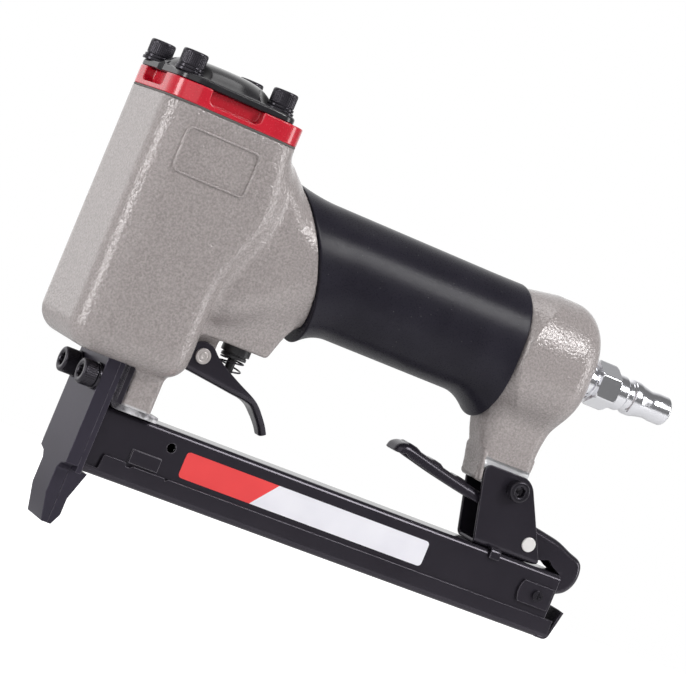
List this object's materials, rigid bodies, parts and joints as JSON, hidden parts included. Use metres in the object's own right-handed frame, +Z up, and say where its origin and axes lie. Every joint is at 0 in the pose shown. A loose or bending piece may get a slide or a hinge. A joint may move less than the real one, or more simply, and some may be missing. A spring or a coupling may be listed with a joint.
{
  "type": "pneumatic upholstery stapler",
  "caption": "Hand-held air stapler with a cast head and grip, red cylinder cap, narrow nose, trigger valve and a straight open-out staple magazine held by a rear latch.",
  "frame": {"origin": "centre of the staple exit at the nose tip, on the driver axis", "axes": "+X from the nose towards the air plug, along the magazine and the handle; +Z up the driver axis towards the cap; +Y away from the pictured side"},
  "size_m": [0.2263, 0.047, 0.1573],
  "materials": {
    "hammertone": "speckled hammertone enamel on an aluminium casting",
    "grip_rubber": "matte moulded rubber",
    "cap_red": "glossy red enamel on die-cast aluminium",
    "gasket": "matte",
    "black_sheet": "satin black over folded sheet steel",
    "black_tool_steel": "satin blackened steel",
    "black_oxide": "black oxide",
    "spring_steel": "drawn wire",
    "seal_rubber": "oiled rubber",
    "aluminium": "turned",
    "bright_steel": "ground",
    "staple_wire": "galvanised flat wire",
    "valve_plastic": "turned",
    "thread_tape": "matte white",
    "chrome": "polished"
  },
  "bodies": {
    "frame_body": {"body_casting": "hammertone", "handle_grip": "grip_rubber", "cylinder_cap": "cap_red", "cap_gasket": "gasket", "exhaust_deflector": "black_sheet", "magazine_bracket": "black_sheet", "fixed_magazine": "black_sheet", "rear_bracket": "black_sheet", "rear_clips": "black_sheet", "nose_front_plate": "black_tool_steel", "nose_back_plate": "black_tool_steel", "nose_spacer": "black_tool_steel", "cap_screws": "black_oxide", "cap_flat_washers": "black_oxide", "cap_spring_washers": "black_oxide", "nose_screws": "black_oxide", "nose_washers": "black_oxide", "rear_bolt": "black_oxide", "rear_nut": "black_oxide", "clip_screws": "black_oxide", "valve_body": "black_oxide", "head_valve_spring": "spring_steel", "latch_spring": "spring_steel", "valve_spring": "spring_steel", "sleeve_orings": "seal_rubber", "valve_orings": "seal_rubber", "piston_bumper": "seal_rubber", "cylinder_sleeve": "aluminium", "latch_rivet": "bright_steel", "trigger_pin": "bright_steel", "plug_seal": "thread_tape", "air_plug": "chrome"},
    "trigger": {"trigger": "black_sheet"},
    "trigger_stem": {"valve_stem": "black_oxide"},
    "latch": {"latch_lever": "black_sheet"},
    "slider": {"magazine_slider": "black_sheet", "staple_rail": "bright_steel", "staple_strip": "staple_wire", "pusher_rod": "bright_steel", "pusher_spring": "spring_steel", "slider_end_block": "black_sheet"},
    "pusher": {"staple_pusher": "bright_steel"},
    "driver": {"piston": "aluminium", "piston_oring": "seal_rubber", "driver_blade": "bright_steel", "driver_pin": "bright_steel"},
    "head_valve": {"head_valve": "valve_plastic", "head_valve_oring": "seal_rubber"}
  },
  "joints": [
    {"name": "trigger_pivot", "type": "hinge", "parent": "frame_body", "child": "trigger", "pos_m": [0.0288, 0, 0.0682], "axis": [0, -1, 0], "range_deg": [0, 11], "stiffness_Nm_per_rad": 0.4, "springref_deg": -8.59, "deforming": ["valve_spring"]},
    {"name": "stem_slide", "type": "slide", "parent": "frame_body", "child": "trigger_stem", "axis": [0, 0, 1], "range_m": [0, 0.0025], "deforming": ["valve_spring"]},
    {"name": "latch_pivot", "type": "hinge", "parent": "frame_body", "child": "latch", "pos_m": [0.1687, 0, 0.0486], "axis": [0, -1, 0], "range_deg": [0, 12], "stiffness_Nm_per_rad": 0.5, "springref_deg": -11.46, "deforming": ["latch_spring"]},
    {"name": "slider_slide", "type": "slide", "parent": "frame_body", "child": "slider", "axis": [1, 0, 0], "range_m": [0, 0.09]},
    {"name": "pusher_slide", "type": "slide", "parent": "slider", "child": "pusher", "axis": [1, 0, 0], "range_m": [0, 0.045], "stiffness_N_per_m": 60, "springref_m": -0.05, "deforming": ["pusher_spring"]},
    {"name": "driver_slide", "type": "slide", "parent": "frame_body", "child": "driver", "axis": [0, 0, -1], "range_m": [0, 0.036]},
    {"name": "head_valve_slide", "type": "slide", "parent": "frame_body", "child": "head_valve", "axis": [0, 0, 1], "range_m": [0, 0.0035], "stiffness_N_per_m": 800, "springref_m": -0.005, "deforming": ["head_valve_spring"]}
  ],
  "couplings": [
    {"joint": "trigger_pivot", "follows": "stem_slide", "rad_per_m": 76.3}
  ]
}
